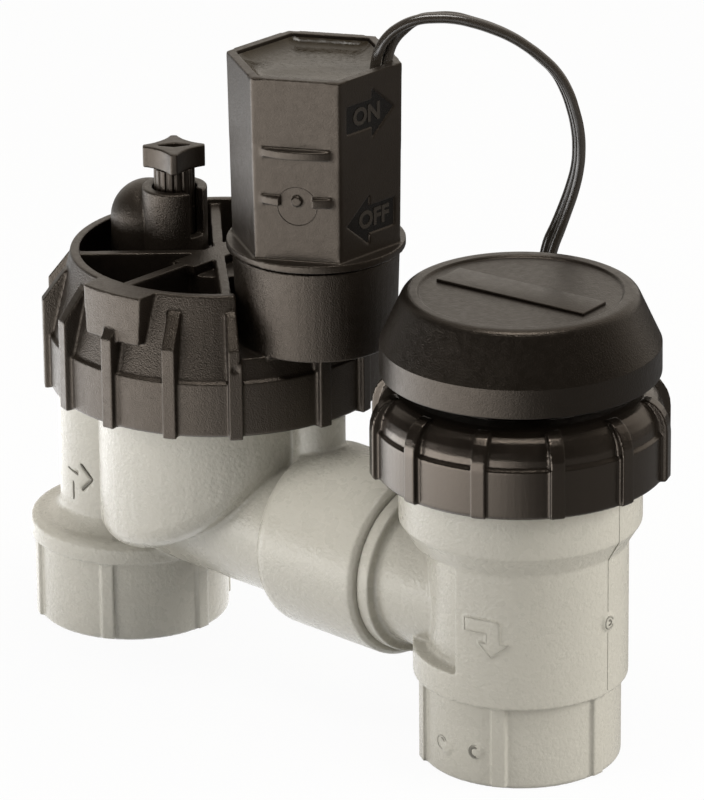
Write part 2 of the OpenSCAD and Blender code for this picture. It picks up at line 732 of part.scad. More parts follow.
// Stem: coarse thread and foot below, fluted shank above
module flow_stem() {
  flutes = 16;
  groove_z = boss_top_z - 12.4;
  color(black)
  difference() {
    union() {
      post(flow_x, stem_thread_r, stem_foot_z, shank_foot_z - stem_foot_z + 1);
      post(flow_x, shank_r, shank_foot_z, handle_z - shank_foot_z);
      post(flow_x, 2.6, handle_z - eps, handle_h - 1.6);
    }
    translate([flow_x, 0, 0]) ring(shank_r - 1, shank_r + 1, groove_z, 1.8);
    for (k = [0 : flutes - 1])
      translate([flow_x, 0, 0]) rotate(k * 360 / flutes)
        translate([shank_r, 0, boss_top_z - 4]) cylinder(r = 0.3, h = shank_show + 4 + through);
  }
}

// Four-cornered handle with hollow sides and a screwdriver slot
module flow_handle() {
  corner = 1.1;
  color(black)
  translate([flow_x, 0, handle_z])
  difference() {
    rotate(45) intersection() {
      translate([-handle_r, -handle_r, 0]) cube([2 * handle_r, 2 * handle_r, handle_h]);
      linear_extrude(handle_h)
        polygon([for (q = [0 : 3]) for (s = [-1, 1])
          [handle_r * cos(90 * q) - s * corner * sin(90 * q),
            handle_r * sin(90 * q) + s * corner * cos(90 * q)]]);
    }
    for (q = [0 : 90 : 270])
      rotate(q) translate([handle_r * 2.06, 0, -through])
        cylinder(r = handle_r * 1.42, h = handle_h + 2 * through);
    translate([0, 0, -through]) cylinder(r = 2.6 + fit_gap, h = handle_h - 1.5 + through);
    rotate(45) translate([0, 0, handle_h - 1.2])
      linear_extrude(1.2 + through) polygon([[3.3, 0], [0, 1.1], [-3.3, 0], [0, -1.1]]);
  }
}

module stem_oring() {
  groove_z = boss_top_z - 12.4;
  color(dark_rubber)
  translate([flow_x, 0, 0])
    ring(shank_r - 1 + fit_gap, boss_bore_r - fit_gap, groove_z + fit_gap, 1.8 - 2 * fit_gap);
}

// Arrow outline, pointing along +Y from its centre
module arrow(length, height) {
  head = length * 0.48;
  polygon([[-length / 2, -height * 0.28], [length / 2 - head, -height * 0.28],
    [length / 2 - head, -height / 2], [length / 2, 0], [length / 2 - head, height / 2],
    [length / 2 - head, height * 0.28], [-length / 2, height * 0.28]]);
}

// Recess of an arrow in the housing's +X face
module arrow_recess(z, turn) {
  face = (hex_foot_r + (hex_r - hex_foot_r) * (z - hex_z) / hex_h) * cos(30);
  lean = atan((hex_r - hex_foot_r) * cos(30) / hex_h);
  translate([face - 0.4, 0, z]) rotate([0, lean, 0]) rotate([90, 0, 90]) rotate(turn)
    linear_extrude(3) arrow(12.4, 9.6);
}

// Grip crescents: a thin disc showing through two opposite faces of the hexagon
module face_crescent(share) {
  intersection() {
    translate([0, 0, hex_z + share * hex_h]) cylinder(r = disc_r, h = disc_t);
    rotate(-60) translate([-2 * hex_r, -hex_foot_r * 0.46, hex_z])
      cube([4 * hex_r, hex_foot_r * 0.92, hex_h]);
  }
}

module solenoid_housing() {
  color(black)
  translate([sol_x, 0, 0])
  difference() {
    union() {
      translate([0, 0, neck_low_z]) cylinder(r = neck_r, h = collar_z - neck_low_z + eps);
      translate([0, 0, collar_z]) cylinder(r = collar_r, h = collar_t);
      translate([0, 0, hex_z - eps]) rotate(30)
        cylinder(r1 = hex_foot_r, r2 = hex_r, h = hex_h, $fn = 6);
      face_crescent(0.57);
      difference() {
        face_crescent(0.31);
        rotate(-60) translate([0, 0, hex_z + 0.31 * hex_h + disc_t / 2]) rotate([0, 90, 0])
          cylinder(r = 3, h = 2 * hex_r);
      }
      rotate(-60) translate([0, 0, hex_z + 0.31 * hex_h + disc_t / 2]) rotate([0, 90, 0])
        cylinder(r = 0.9, h = hex_foot_r * cos(30) + 0.6);
    }
    translate([0, 0, housing_floor_z]) rotate(30)
      cylinder(r1 = hex_cavity_r, r2 = hex_cavity_r + cavity_taper, h = hex_h + through, $fn = 6);
    translate([0, 0, neck_low_z - through]) cylinder(r = spring_room_r, h = 3 + through);
    translate([0, 0, neck_low_z]) cylinder(r = tube_outer_r + fit_gap, h = hex_h);
    ring(neck_r - 1.6, neck_r + 1, neck_low_z + 1.6, 2);
    arrow_recess(hex_z + hex_h * 0.77, 0);
    arrow_recess(hex_z + hex_h * 0.19, 180);
  }
}

module solenoid_oring() {
  color(dark_rubber)
  translate([sol_x, 0, 0])
    ring(neck_r - 1.6 + fit_gap, cup_bore_r - fit_gap, neck_low_z + 1.6 + fit_gap, 2 - 2 * fit_gap);
}

function potting_r(z) = hex_cavity_r - fit_gap + cavity_taper * (z - housing_floor_z) / (hex_h + through);

// Epoxy that closes the housing's top, dished where it has wetted the walls
module potting() {
  dish_r = 40;
  color([0.22, 0.2, 0.18])
  translate([sol_x, 0, 0])
  difference() {
    translate([0, 0, potting_low_z]) rotate(30)
      cylinder(r1 = potting_r(potting_low_z), r2 = potting_r(potting_z), h = potting_z - potting_low_z, $fn = 6);
    translate([-2.5, -1.5, potting_z + dish_r - 0.7]) sphere(r = dish_r);
  }
}

// Steel strap around the coil
module yoke() {
  color(steel)
  translate([sol_x, 0, 0])
  difference() {
    translate([-yoke_half, -yoke_w / 2, housing_floor_z])
      cube([2 * yoke_half, yoke_w, core_top_z - housing_floor_z]);
    translate([-yoke_half + yoke_t, -yoke_w, housing_floor_z + yoke_t])
      cube([2 * (yoke_half - yoke_t), 2 * yoke_w, yoke_top_z - housing_floor_z - yoke_t]);
    translate([0, 0, housing_floor_z - through])
      cylinder(r = tube_outer_r + fit_gap, h = yoke_t + 2 * through);
    translate([0, 0, yoke_top_z - through]) cylinder(r = 2.5 + fit_gap, h = yoke_t + 2 * through);
  }
}

module coil_bobbin() {
  wall = 0.9;
  flange = 1.3;
  color([0.85, 0.84, 0.8])
  translate([sol_x, 0, bobbin_z])
    rotate_extrude()
      polygon([[tube_outer_r + fit_gap, 0], [bobbin_r, 0], [bobbin_r, flange],
        [tube_outer_r + fit_gap + wall, flange],
        [tube_outer_r + fit_gap + wall, bobbin_h - flange], [bobbin_r, bobbin_h - flange],
        [bobbin_r, bobbin_h], [tube_outer_r + fit_gap, bobbin_h]]);
}

module coil_winding() {
  inner = tube_outer_r + 2 * fit_gap + 0.9;
  color(copper)
  translate([sol_x, 0, 0])
    ring(inner, bobbin_r - 0.5, bobbin_z + 1.3 + fit_gap, bobbin_h - 2.6 - 2 * fit_gap);
}

module core_tube() {
  color(steel)
  translate([sol_x, 0, 0]) ring(tube_inner_r, tube_outer_r, tube_low_z, tube_top_z - tube_low_z);
}

// Fixed pole piece, staked through the yoke
module fixed_core() {
  color(steel) {
    post(sol_x, tube_inner_r - fit_gap, core_z, yoke_top_z - core_z);
    post(sol_x, 2.5, yoke_top_z - eps, core_top_z - yoke_top_z);
  }
}

module plunger() {
  color(steel)
  difference() {
    union() {
      post(sol_x, plunger_r, plunger_low_z, plunger_top_z - plunger_low_z);
      post(sol_x, plunger_r + 1.5, plunger_flange_z, plunger_flange_t);
    }
    post(sol_x, plunger_seal_r + fit_gap, plunger_low_z - through, plunger_seal_t - 1 + through);
  }
}

module plunger_seal() {
  color(dark_rubber) post(sol_x, plunger_seal_r, plunger_seal_z, plunger_seal_t);
}

module plunger_spring() {
  low = plunger_flange_z + plunger_flange_t;
  color(steel) spring(sol_x, plunger_r + 1, 0.25, low, tube_low_z - low, 3);
}

// Vacuum breaker: ported barrel, side spigot, upper chamber and central standpipe
module breaker_outside() {
  flat_x = 1.5;
  translate([avb_x, 0, 0]) {
    hub();
    translate([0, 0, hub_h]) cylinder(r = jacket_r, h = 5.2);
    translate([0, 0, hub_h]) cylinder(r = core_r, h = jacket_top_z - hub_h + 2);
    intersection() {
      translate([0, 0, hub_h]) cylinder(r = jacket_r, h = jacket_top_z - hub_h + eps);
      translate([flat_x, -2 * jacket_r, 0]) cube([2 * jacket_r, 4 * jacket_r, 2 * jacket_top_z]);
    }
    translate([0, 0, jacket_top_z])
      cylinder(r1 = jacket_r, r2 = upper_r, h = upper_low_z - jacket_top_z + eps);
    translate([0, 0, upper_low_z]) cylinder(r = upper_r, h = upper_top_z - upper_low_z);
    closure_ridges(upper_r - 0.3, upper_r + 0.62, nut_low_z + 3.4, 3, 2);
  }
  pipe(spigot_r, spigot_start_x, avb_x - barrel_bore_r);
  pipe(neck_flange_r, socket_end_x + fit_gap, socket_end_x + neck_flange_t);
  pipe(tube_r, socket_end_x + fit_gap, avb_x);
}

// Raised bent arrow on the jacket, showing the way out
module jacket_mark() {
  intersection() {
    translate([avb_x, 0, 0]) cylinder(r = jacket_r + 0.3, h = jacket_top_z);
    translate([avb_x, 0, 0]) rotate(-66.4) rotate([90, 0, 90]) translate([0, 0, jacket_r - 2])
      linear_extrude(3)
        polygon([[-4.1, 32.8], [2, 32.7], [2.5, 32], [2.5, 28.4], [4.2, 28.4], [0.9, 25.8],
          [-1.4, 28.4], [0.1, 28.4], [0.1, 30.4], [-4.1, 30.4]]);
  }
}

// Small moulding marks: a gate stub on the jacket and two ejector spots on the hub
module moulding_marks() {
  translate([avb_x, 0, 29.6]) rotate(5) rotate([0, 90, 0]) cylinder(r = 1.5, h = jacket_r + 0.4);
  for (spot = [[-94.5, 5.6], [-73.3, 6.6]])
    translate([avb_x, 0, spot[1]]) rotate(spot[0]) translate([hub_r - 1, 0, 0])
      rotate([0, 90, 0]) cylinder(r = 1, h = 1.25);
}

module standpipe() {
  difference() {
    union() {
      post(avb_x, pipe_wall_r, tube_z, pipe_top_z - tube_z);
      translate([avb_x, 0, tube_z]) sphere(r = pipe_wall_r);
      pipe(pipe_wall_r, avb_x - barrel_bore_r - 1, avb_x);
    }
    post(avb_x, pipe_bore_r, tube_z, pipe_top_z - tube_z + through);
    translate([avb_x, 0, tube_z]) sphere(r = pipe_bore_r);
    pipe(pipe_bore_r, avb_x - barrel_bore_r - 2, avb_x);
  }
}

module vacuum_breaker_body() {
  color(pvc) {
    difference() {
      union() {
        breaker_outside();
        jacket_mark();
        moulding_marks();
      }
      translate([avb_x, 0, 0]) port_thread();
      post(avb_x, barrel_bore_r, thread_len - eps, chamber_floor_z - thread_len + through);
      post(avb_x, vent_chamber_r, chamber_floor_z, upper_top_z - chamber_floor_z + through);
      pipe(pipe_bore_r, spigot_start_x - through, avb_x);
      translate([avb_x, 0, 0])
        ring(vent_chamber_r + 0.6, vent_chamber_r + 2.2, upper_top_z - 1.4, 1.4 + through);
    }
    standpipe();
  }
}

module vent_seal() {
  color(dark_rubber)
  translate([avb_x, 0, 0])
    ring(vent_chamber_r + 0.6 + fit_gap, vent_chamber_r + 2.2 - fit_gap, upper_top_z - 1.4, 1.4);
}

// Vent seat: flange under the nut, seat lip, four arms and the post that carries the canopy
module vent_seat() {
  arm_w = 2.2;
  color(black)
  translate([avb_x, 0, 0])
  difference() {
    union() {
      ring(vent_open_r, vent_chamber_r - run_gap, vent_plate_z, upper_top_z - vent_plate_z);
      ring(vent_open_r, upper_r - 0.24, upper_top_z, vent_flange_t);
      ring(vent_open_r, vent_seat_r, vent_seat_z, vent_plate_z - vent_seat_z + eps);
      translate([0, 0, vent_seat_z - 1.4])
        cylinder(r = hub_post_r, h = post_top_z - vent_seat_z + 1.4);
      translate([0, 0, post_top_z - eps]) cylinder(r = post_pin_r, h = 3.6);
      for (a = [0, 90])
        rotate(a) translate([-vent_open_r - 1, -arm_w / 2, vent_plate_z])
          cube([2 * vent_open_r + 2, arm_w, upper_top_z + vent_flange_t - vent_plate_z]);
    }
    translate([0, 0, vent_seat_z - 1.4 - through]) cylinder(r = guide_r, h = 15 + through);
  }
}

// Retaining nut: straight band, rounded shoulder, twelve ribs that wrap over it
function nut_profile(out) =
  let (shoulder = nut_h - nut_band_h, run = 4.6)
  [for (i = [0 : 6])
    [nut_r + out - run * (1 - cos(15 * i)), nut_low_z + nut_band_h + shoulder * sin(15 * i)]];

module retaining_nut() {
  color(black)
  translate([avb_x, 0, 0])
  difference() {
    union() {
      rotate_extrude()
        polygon(concat([[lip_r, lip_z], [nut_bore_r, lip_z], [nut_bore_r, nut_low_z],
          [nut_r - 0.6, nut_low_z], [nut_r, nut_low_z + 0.6], [nut_r, nut_low_z + nut_band_h - 0.3],
          [nut_r - 0.3, nut_low_z + nut_band_h]], nut_profile(-nut_step),
          [[lip_r, nut_top_z]]));
      closure_ridges_nut();
      for (a = [0 : 30 : 330])
        rotate(a + nut_turn) rotate([90, 0, 0]) translate([0, 0, -nut_rib_w / 2])
          linear_extrude(nut_rib_w)
            polygon(concat([[nut_r - 1, nut_low_z + 0.3], [nut_r + nut_rib_t - 0.5, nut_low_z + 0.3],
              [nut_r + nut_rib_t, nut_low_z + 0.8]], nut_profile(nut_rib_t),
              [[nut_r - 4.2, nut_top_z - 0.5], [nut_r - 2, nut_low_z + nut_band_h + 2]]));
    }
    translate([0, 0, nut_top_z]) cylinder(r = nut_r + 4, h = 3);
  }
}

module closure_ridges_nut() {
  rotate_extrude()
    for (k = [0 : 1])
      translate([0, nut_low_z + 4.9 + k * 3])
        polygon([[nut_bore_r + 0.3, -0.55], [nut_bore_r - 0.6, -0.25], [nut_bore_r - 0.6, 0.25],
          [nut_bore_r + 0.3, 0.55]]);
}

// Canopy: straight band, sloping side, rounded edge and a shallow recess with a bare plaque
module canopy() {
  edge = 1.6;
  recess_r = canopy_top_r - 3;
  band_top = canopy_low_z + canopy_band_h;
  rounding = [for (i = [0 : 5])
    [canopy_top_r - edge * (1 - cos(18 * i)), canopy_top_z - edge + edge * sin(18 * i)]];
  color(black)
  translate([avb_x, 0, 0])
  difference() {
    union() {
      rotate_extrude()
        polygon(concat([[canopy_r - canopy_wall, canopy_low_z], [canopy_r - 0.3, canopy_low_z],
          [canopy_r, canopy_low_z + 0.3], [canopy_r - 0.05, band_top]], rounding,
          [[recess_r, canopy_top_z], [recess_r - 0.4, canopy_top_z - 0.5], [0, canopy_top_z - 0.5],
            [0, canopy_top_z - canopy_wall - 0.5],
            [canopy_top_r - canopy_wall - 1, canopy_top_z - canopy_wall - 0.5],
            [canopy_r - canopy_wall, band_top - 0.5]]));
      translate([0, 0, post_top_z]) cylinder(r = hub_post_r + 1, h = canopy_top_z - post_top_z - 1);
      rotate(8) translate([-15.5, -3.6, canopy_top_z - 0.6]) cube([31, 7.2, 0.6]);
    }
    translate([0, 0, post_top_z - through]) cylinder(r = post_pin_r + fit_gap, h = 4 + through);
  }
}

// Poppet: disc with a guide stem above and three-legged guide below
module poppet() {
  guide = pipe_bore_r - run_gap;
  color([0.9, 0.89, 0.85])
  translate([avb_x, 0, 0]) {
    translate([0, 0, poppet_z]) cylinder(r = poppet_r, h = poppet_t);
    translate([0, 0, poppet_z]) cylinder(r = guide_r - run_gap, h = poppet_guide_h);
    for (a = [0, 60, 120])
      rotate(a) translate([-guide, -0.7, poppet_z - poppet_fin_h]) cube([2 * guide, 1.4, poppet_fin_h + eps]);
  }
}

module poppet_inlet_seal() {
  color(dark_rubber)
  translate([avb_x, 0, 0])
    ring(pipe_bore_r - run_gap + fit_gap, pipe_wall_r + 1.4, poppet_seal_z, poppet_seal_t);
}

module poppet_vent_seal() {
  color(dark_rubber)
  translate([avb_x, 0, 0]) ring(vent_open_r - 0.6, vent_seat_r + 0.6, poppet_top_z, 1.4);
}

// Leads
function spiral_at(a, z) =
  let (r = lead_coil_r - lead_coil_step * (a - lead_coil_start) / 360)
  [lead_coil_at.x + r * cos(a), lead_coil_at.y + r * sin(a), z];
function spiral(from, to, z) =
  [for (i = [0 : ceil((to - from) / coil_step_deg)])
    spiral_at(from + (to - from) * i / ceil((to - from) / coil_step_deg), z)];
function turn_heading(a) = [-sin(a), cos(a), 0];
coil_end = lead_coil_start + 360 * coil_turns;

module lead_run(route) {
  color(black)
  swept_tube(route, lead_d / 2, 8, [0, 0, 1], turn_heading(lead_coil_start));
}

module lead_coil(z) {
  p = spiral(lead_coil_start, coil_end, z);
  echo(str("lead coil gap ", least_gap(p, lead_d, 12)));
  color(black)
  swept_tube(p, lead_d / 2, 6, turn_heading(lead_coil_start), turn_heading(coil_end));
}

module lead_a_run() { lead_run(lead_a_route); }
module lead_a_coil() { lead_coil(lead_coil_z[0]); }
module lead_b_run() { lead_run(lead_b_route); }
module lead_b_coil() { lead_coil(lead_coil_z[1]); }

// Stripped end of a lead, carrying on along the coil
module lead_tip(z) {
  color(copper)
  swept_tube(spiral(coil_end, coil_end + tip_deg, z), conductor_d / 2, 6,
    turn_heading(coil_end), turn_heading(coil_end + tip_deg));
}
module lead_a_tip() { lead_tip(lead_coil_z[0]); }
module lead_b_tip() { lead_tip(lead_coil_z[1]); }

// Cable tie around the coil
module lead_tie() {
  strip = 0.45;
  width = 2.5;
  inner = lead_coil_r - lead_coil_step * (floor(coil_turns - 0.5) + 0.5) - lead_d / 2 - 0.3;
  outer = lead_coil_r - lead_coil_step * 0.5 + lead_d / 2 + 0.3;
  top = lead_coil_z[1] + lead_d / 2 + 0.15;
  color([0.2, 0.2, 0.2])
  translate([lead_coil_at.x, lead_coil_at.y, 0]) rotate(lead_coil_start + 180) translate([0, -width / 2, 0]) {
    difference() {
      translate([inner - strip, 0, 0]) cube([outer - inner + 2 * strip, width, top + strip]);
      translate([inner, -width, strip]) cube([outer - inner, 3 * width, top - strip]);
    }
    translate([outer + strip - eps, -0.4, 1.5]) cube([1.8, width + 0.8, 3]);
  }
}

valve_body();
diaphragm();
seat_seal();
diaphragm_plate();
filter_screen();
diaphragm_spring();
bonnet();
flow_stem();
flow_handle();
stem_oring();
solenoid_housing();
solenoid_oring();
potting();
yoke();
coil_bobbin();
coil_winding();
core_tube();
fixed_core();
plunger();
plunger_seal();
plunger_spring();
vacuum_breaker_body();
vent_seal();
vent_seat();
retaining_nut();
canopy();
poppet();
poppet_inlet_seal();
poppet_vent_seal();
lead_a_run();
lead_a_coil();
lead_b_run();
lead_b_coil();
lead_a_tip();
lead_b_tip();
lead_tie();
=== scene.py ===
# Irrigation zone valve with an anti-siphon vacuum breaker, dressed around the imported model.
# It lies in the model's own frame: the inlet port's mouth is the origin and Z points up.
import math

import bmesh
import bpy
from mathutils import Matrix, Vector


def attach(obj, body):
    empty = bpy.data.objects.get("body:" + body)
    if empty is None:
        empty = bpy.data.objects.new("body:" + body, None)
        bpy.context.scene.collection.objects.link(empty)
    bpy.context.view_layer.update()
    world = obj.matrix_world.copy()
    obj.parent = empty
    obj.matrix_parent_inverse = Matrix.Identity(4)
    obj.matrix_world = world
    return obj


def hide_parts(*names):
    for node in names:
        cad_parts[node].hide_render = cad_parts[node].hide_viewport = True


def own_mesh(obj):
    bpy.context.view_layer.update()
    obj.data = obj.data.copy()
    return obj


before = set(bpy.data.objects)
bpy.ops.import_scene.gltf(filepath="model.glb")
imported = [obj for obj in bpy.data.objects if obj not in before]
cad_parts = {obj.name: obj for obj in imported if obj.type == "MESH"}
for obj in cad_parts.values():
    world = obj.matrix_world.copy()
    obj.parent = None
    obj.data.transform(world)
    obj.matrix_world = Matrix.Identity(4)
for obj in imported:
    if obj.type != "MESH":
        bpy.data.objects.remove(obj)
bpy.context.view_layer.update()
scene = bpy.context.scene
scene.view_settings.view_transform = "Standard"

# Camera: a long lens from the front right, 21 degrees above the floor, as the photo was taken.
# It was solved on the two round hubs, so it stands where their rims fall on the photo's ellipses.
azimuth = math.radians(43.89)
elevation = math.radians(20.98)
roll = math.radians(-0.67)
away = Vector((math.sin(azimuth) * math.cos(elevation), -math.cos(azimuth) * math.cos(elevation),
               math.sin(elevation)))
across = Vector((math.cos(azimuth), math.sin(azimuth), 0.0))
upward = away.cross(across)
across_rolled = math.cos(roll) * across + math.sin(roll) * upward
upward_rolled = math.cos(roll) * upward - math.sin(roll) * across
looked_at = Vector((0.05, 0.0, 0.06))
distance = 1.13758
lens = bpy.data.cameras.new("camera")
lens.lens = 282.37
lens.sensor_width = 36.0
lens.shift_x = 0.03805
lens.shift_y = -0.0357
lens.clip_start = 0.05
lens.clip_end = 50.0
camera = bpy.data.objects.new("camera", lens)
scene.collection.objects.link(camera)
turned = Matrix((across_rolled, upward_rolled, away)).transposed().to_4x4()
camera.matrix_world = Matrix.Translation(looked_at + away * distance) @ turned
scene.camera = camera

# Floor: a plain white table top that keeps a faint shadow of the valve.
# The eye sees it almost white; the valve's skin mirrors it overlit on the left and dim on the right.
table = bmesh.new()
bmesh.ops.create_grid(table, x_segments=1, y_segments=1, size=6.0)
table_mesh = bpy.data.meshes.new("floor")
table.to_mesh(table_mesh)
table.free()
floor = bpy.data.objects.new("floor", table_mesh)
scene.collection.objects.link(floor)


def add(tree, kind, inputs=None, **settings):
    made = tree.nodes.new(kind)
    for setting, value in settings.items():
        setattr(made, setting, value)
    for socket, value in (inputs or {}).items():
        if isinstance(value, bpy.types.NodeSocket):
            tree.links.new(value, made.inputs[socket])
        else:
            made.inputs[socket].default_value = value
    return made


def ramp(tree, value, from_min, from_max, to_min, to_max):
    spread = add(tree, "ShaderNodeMapRange", {"Value": value, "From Min": from_min, "From Max": from_max,
                                              "To Min": to_min, "To Max": to_max})
    return spread.outputs[0]


def towards(tree, place, direction):
    dot = add(tree, "ShaderNodeVectorMath", {0: place, 1: direction}, operation="DOT_PRODUCT")
    return dot.outputs["Value"]


def maths(tree, operation, first, second):
    return add(tree, "ShaderNodeMath", {0: first, 1: second}, operation=operation).outputs[0]


pure_white = (1.0, 1.0, 1.0, 1.0)
paper = bpy.data.materials.new("white_table")
paper.use_nodes = True
tree = paper.node_tree
tree.nodes.clear()
rays = add(tree, "ShaderNodeLightPath")
seen = maths(tree, "MAXIMUM", rays.outputs["Is Camera Ray"], rays.outputs["Is Glossy Ray"])
seen_through = maths(tree, "MAXIMUM", seen, rays.outputs["Is Transmission Ray"])
matt = add(tree, "ShaderNodeBsdfDiffuse", {"Color": (0.55, 0.55, 0.54, 1.0)})
spot = add(tree, "ShaderNodeTexCoord").outputs["Object"]
overlit = ramp(tree, towards(tree, spot, (-0.75, -0.66, 0.0)), -0.1, 0.2, 0.2, 5.5)
fading = ramp(tree, towards(tree, spot, (-0.69, 0.72, 0.0)), 0.08, 0.24, 1.0, 0.08)
mirrored_glow = maths(tree, "MULTIPLY", overlit, fading)
glow = add(tree, "ShaderNodeMix", {"Factor": rays.outputs["Is Glossy Ray"], "A": 1.0, "B": mirrored_glow})
white = add(tree, "ShaderNodeEmission", {"Color": pure_white, "Strength": glow.outputs[0]})
both = add(tree, "ShaderNodeMixShader", {"Fac": maths(tree, "MULTIPLY", seen_through, 0.95),
                                         1: matt.outputs[0], 2: white.outputs[0]})
add(tree, "ShaderNodeOutputMaterial", {"Surface": both.outputs[0]})
table_mesh.materials.append(paper)

# Studio: soft boxes left, right and overhead, a narrow strip for the glints and a white backdrop behind.
# The room on the camera's side stays dark and the side boxes are crossed out of the reflections by
# polarised sheets, so sloping black faces fall off to near black.
room = bpy.data.worlds.new("studio")
scene.world = room
room.use_nodes = True
tree = room.node_tree
tree.nodes.clear()
place = add(tree, "ShaderNodeTexCoord").outputs["Generated"]
backdrop = ramp(tree, towards(tree, place, (-0.45, 0.85, 0.3)), 0.25, 0.75, 0.035, 0.95)
dark_room = add(tree, "ShaderNodeBackground", {"Color": (1.0, 0.935, 0.845, 1.0), "Strength": backdrop})
white_room = add(tree, "ShaderNodeBackground", {"Color": pure_white})
rays = add(tree, "ShaderNodeLightPath")
seen = maths(tree, "MAXIMUM", rays.outputs["Is Camera Ray"], rays.outputs["Is Transmission Ray"])
both = add(tree, "ShaderNodeMixShader", {"Fac": seen, 1: dark_room.outputs[0], 2: white_room.outputs[0]})
add(tree, "ShaderNodeOutputWorld", {"Surface": both.outputs[0]})
lit_point = Vector((0.055, 0.0, 0.06))
for lamp_name, stand, width, tall, watts, mirrored in (
        ("soft_box_left", (-0.47, -0.9, 0.44), 1.0, 0.8, 11.0, False),
        ("soft_box_right", (0.95, 0.42, 0.52), 0.8, 0.7, 15.0, False),
        ("soft_box_overhead", (0.22, -0.2, 1.15), 0.55, 0.36, 7.0, True),
        ("strip_left", (-0.35, -0.6, 0.9), 0.05, 0.7, 0.15, True)):
    box = bpy.data.lights.new(lamp_name, "AREA")
    box.shape = "RECTANGLE"
    box.size = width
    box.size_y = tall
    box.energy = watts
    box.color = (1.0, 0.975, 0.935)
    lamp = bpy.data.objects.new(lamp_name, box)
    scene.collection.objects.link(lamp)
    lamp.visible_glossy = mirrored
    aim = lit_point - Vector(stand)
    lamp.matrix_world = Matrix.Translation(stand) @ aim.to_track_quat("-Z", "Y").to_matrix().to_4x4()

# Leads: two insulated copper wires that leave the potting side by side and fall behind the vacuum breaker.
# Thin black thermoplastic over tinned strands, drawn in one length, with the spare length coiled and tied.
def plastic(name, colour, shade, patch, rough_low, rough_high, grain, depth, strength,
            level=0.5, glint=(1.0, 1.0, 1.0), metallic=0.0):
    made = bpy.data.materials.new(name)
    made.use_nodes = True
    tree = made.node_tree
    where = add(tree, "ShaderNodeTexCoord").outputs["Object"]
    flow = add(tree, "ShaderNodeTexNoise", {"Scale": patch, "Detail": 4.0, "Vector": where})
    tint = add(tree, "ShaderNodeMix", {"A": (*colour, 1.0), "B": (*shade, 1.0),
                                       "Factor": flow.outputs["Fac"]}, data_type="RGBA")
    gloss = add(tree, "ShaderNodeTexNoise", {"Scale": patch * 7.0, "Detail": 3.0, "Vector": where})
    rough = ramp(tree, gloss.outputs["Fac"], 0.3, 0.7, rough_low, rough_high)
    peel = add(tree, "ShaderNodeTexNoise", {"Scale": grain, "Detail": 3.0, "Vector": where})
    relief = add(tree, "ShaderNodeBump", {"Strength": strength, "Distance": depth,
                                          "Height": peel.outputs["Fac"]})
    skin = tree.nodes["Principled BSDF"]
    tree.links.new(tint.outputs["Result"], skin.inputs["Base Color"])
    tree.links.new(rough, skin.inputs["Roughness"])
    tree.links.new(relief.outputs[0], skin.inputs["Normal"])
    skin.inputs["Specular IOR Level"].default_value = level
    skin.inputs["Specular Tint"].default_value = (*glint, 1.0)
    skin.inputs["Metallic"].default_value = metallic
    return made


lead_insulation = plastic("lead_insulation", (0.02, 0.0165, 0.013), (0.03, 0.025, 0.02), 90.0,
                          0.2, 0.28, 900.0, 0.00003, 0.25, level=0.8)
mm = 0.001
lead_d = 1.9
coil_at = (75.0, 26.0)
coil_r = 14.2
coil_step = lead_d + 0.45
coil_start = 40.0
coil_turns = 3.0
knots_per_turn = 24
lead_routes = {
    "lead_a": [
        (58.9, 5.1, 117.2), (59.1, 5.4, 119.8), (59.6, 5.8, 122), (60.5, 6.7, 124.1),
        (62.1, 8.2, 126), (64.5, 10.4, 127.4), (66.9, 12.8, 127.7), (69.3, 15.1, 127.5),
        (71.6, 17.2, 126.8), (74.1, 19.6, 125.6), (76.6, 22, 124), (78.6, 23.9, 122.2),
        (80.5, 25.8, 120), (82.3, 27.5, 117.4), (83.7, 28.9, 114), (84.7, 29.8, 110),
        (85.3, 30.3, 106.4), (85.4, 30.5, 102.7), (85.2, 30.3, 99.1), (84.6, 29.7, 95.1),
        (83.7, 28.9, 91.3), (82.8, 28, 87.6), (81.9, 27.2, 84.2), (81.1, 26.6, 79.5),
        (81, 26.4, 73.5), (82.6, 26.8, 66.5), (84.3, 27.4, 59.5), (86, 28.2, 51.5),
        (87.6, 29, 42.5), (88.8, 29.6, 33.5), (89.6, 30, 24.5), (90, 30.2, 16.5),
        (90, 30.2, 8), (89.45, 30.86, 4.8), (87.94, 32.65, 2.46), (85.88, 35.13, 1.6)],
    "lead_b": [
        (60.3, 6.5, 117.2), (60.35, 6.9, 119.4), (60.3, 7.6, 121.3), (60.5, 8.6, 123.1),
        (61.5, 10, 125), (63.2, 12, 126.8), (65.5, 14.3, 127.3), (67.8, 16.6, 127.2),
        (70.1, 18.6, 126.4), (72.6, 21, 125.2), (75, 23.3, 123.6), (77, 25.2, 121.8),
        (78.8, 27, 119.6), (80.6, 28.7, 117.1), (81.9, 30, 113.8), (82.9, 30.9, 109.9),
        (83.5, 31.4, 106.3), (83.6, 31.7, 102.7), (83.5, 31.5, 99.2), (82.8, 30.8, 95.2),
        (81.9, 29.9, 91.5), (80.9, 28.9, 87.9), (79.9, 27.9, 84.5), (79.3, 27.6, 79.5),
        (80.1, 28.25, 73.5), (81.9, 28.75, 66.5), (83.5, 29.3, 59.5), (85, 30, 51.5),
        (86.4, 30.7, 42.5), (87.5, 31.2, 33.5), (88.3, 31.6, 24.5), (88.64, 31.84, 16.5),
        (88.64, 31.84, 8.35), (88.27, 32.28, 6.2), (87.26, 33.49, 4.63), (85.88, 35.13, 4.05)],
}
coil_heights = {"lead_a": 1.6, "lead_b": 4.05}
